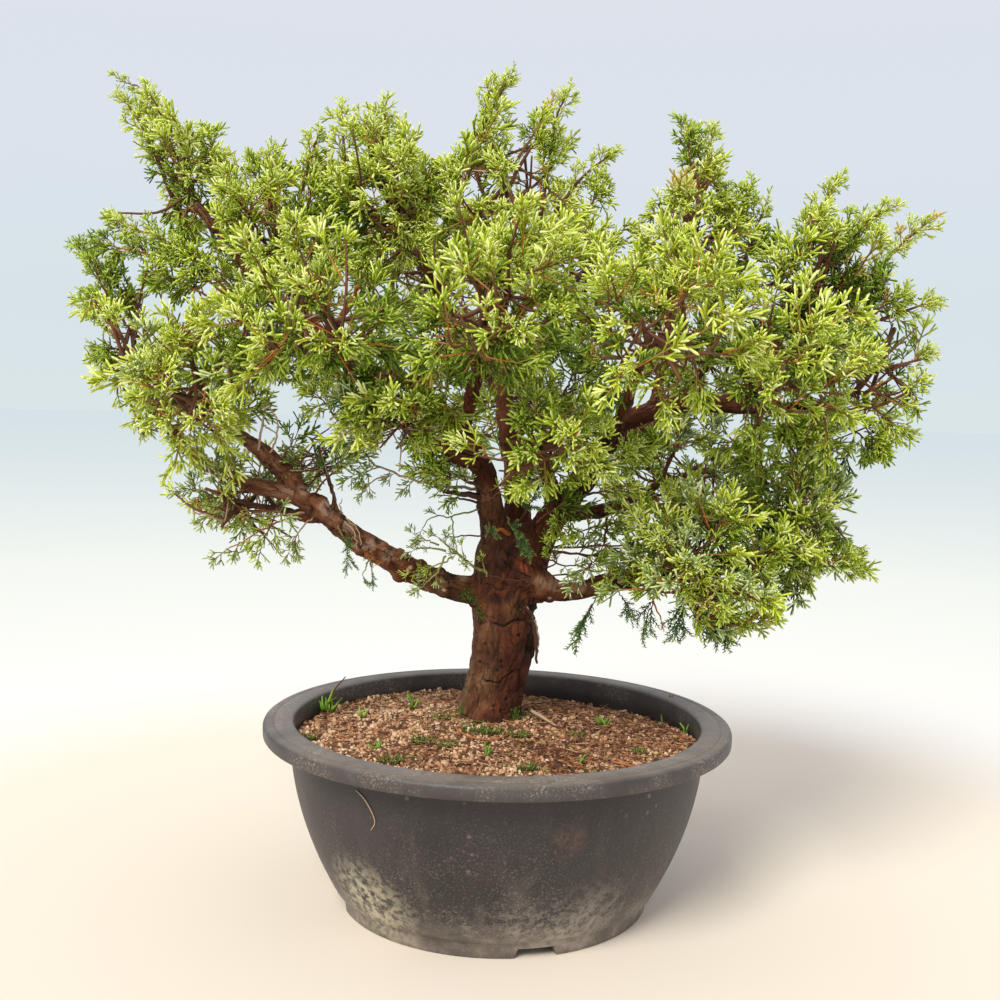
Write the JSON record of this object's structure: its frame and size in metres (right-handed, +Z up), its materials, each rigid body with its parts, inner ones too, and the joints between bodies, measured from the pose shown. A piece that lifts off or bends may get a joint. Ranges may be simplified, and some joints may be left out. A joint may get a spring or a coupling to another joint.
{
  "type": "potted bonsai tree",
  "caption": "Itoigawa Chinese juniper bonsai with a broad open crown on a short stout trunk, in a round black plastic pot of soil.",
  "frame": {"origin": "middle of the whole plant's box, on the ground under the pot", "axes": "+Z up, -Y towards the side seen in the picture, +X to the right as seen from that side"},
  "size_m": [0.502, 0.3144, 0.4755],
  "materials": {
    "pot": "moulded satin",
    "soil": "granular",
    "bark": "flaking bark",
    "foliage": "scale leaves"
  },
  "bodies": {
    "root": {"pot": "pot", "soil": "soil", "trunk": "bark", "left_bough": "bark", "left_upper_limb": "bark", "left_lower_limb": "bark", "left_leader": "bark", "left_high_limb": "bark", "right_bough": "bark", "right_leader": "bark", "right_high_limb": "bark", "centre_leader": "bark", "left_low_bough": "bark", "left_gap_bough": "bark", "left_spike_bough": "bark", "top_left_bough": "bark", "top_right_bough": "bark", "upper_right_bough": "bark", "right_hanging_bough": "bark", "front_left_bough": "bark", "front_bough": "bark", "front_right_bough": "bark", "right_front_bough": "bark", "front_low_bough": "bark", "left_low_inner_bough": "bark", "back_left_bough": "bark", "back_top_left_bough": "bark", "back_top_right_bough": "bark", "back_right_bough": "bark", "back_low_bough": "bark", "back_low_right_bough": "bark", "left_tip_foliage": "foliage", "left_low_foliage": "foliage", "left_shoulder_foliage": "foliage", "left_gap_foliage": "foliage", "left_spike_foliage": "foliage", "left_high_foliage": "foliage", "top_left_foliage": "foliage", "top_foliage": "foliage", "top_right_foliage": "foliage", "upper_right_foliage": "foliage", "right_tip_foliage": "foliage", "right_low_foliage": "foliage", "right_hanging_foliage": "foliage", "front_left_foliage": "foliage", "front_foliage": "foliage", "front_right_foliage": "foliage", "right_front_foliage": "foliage", "front_low_foliage": "foliage", "left_low_inner_foliage": "foliage", "back_left_foliage": "foliage", "back_top_left_foliage": "foliage", "back_top_right_foliage": "foliage", "back_right_foliage": "foliage", "back_low_foliage": "foliage", "back_low_right_foliage": "foliage"}
  },
  "joints": []
}
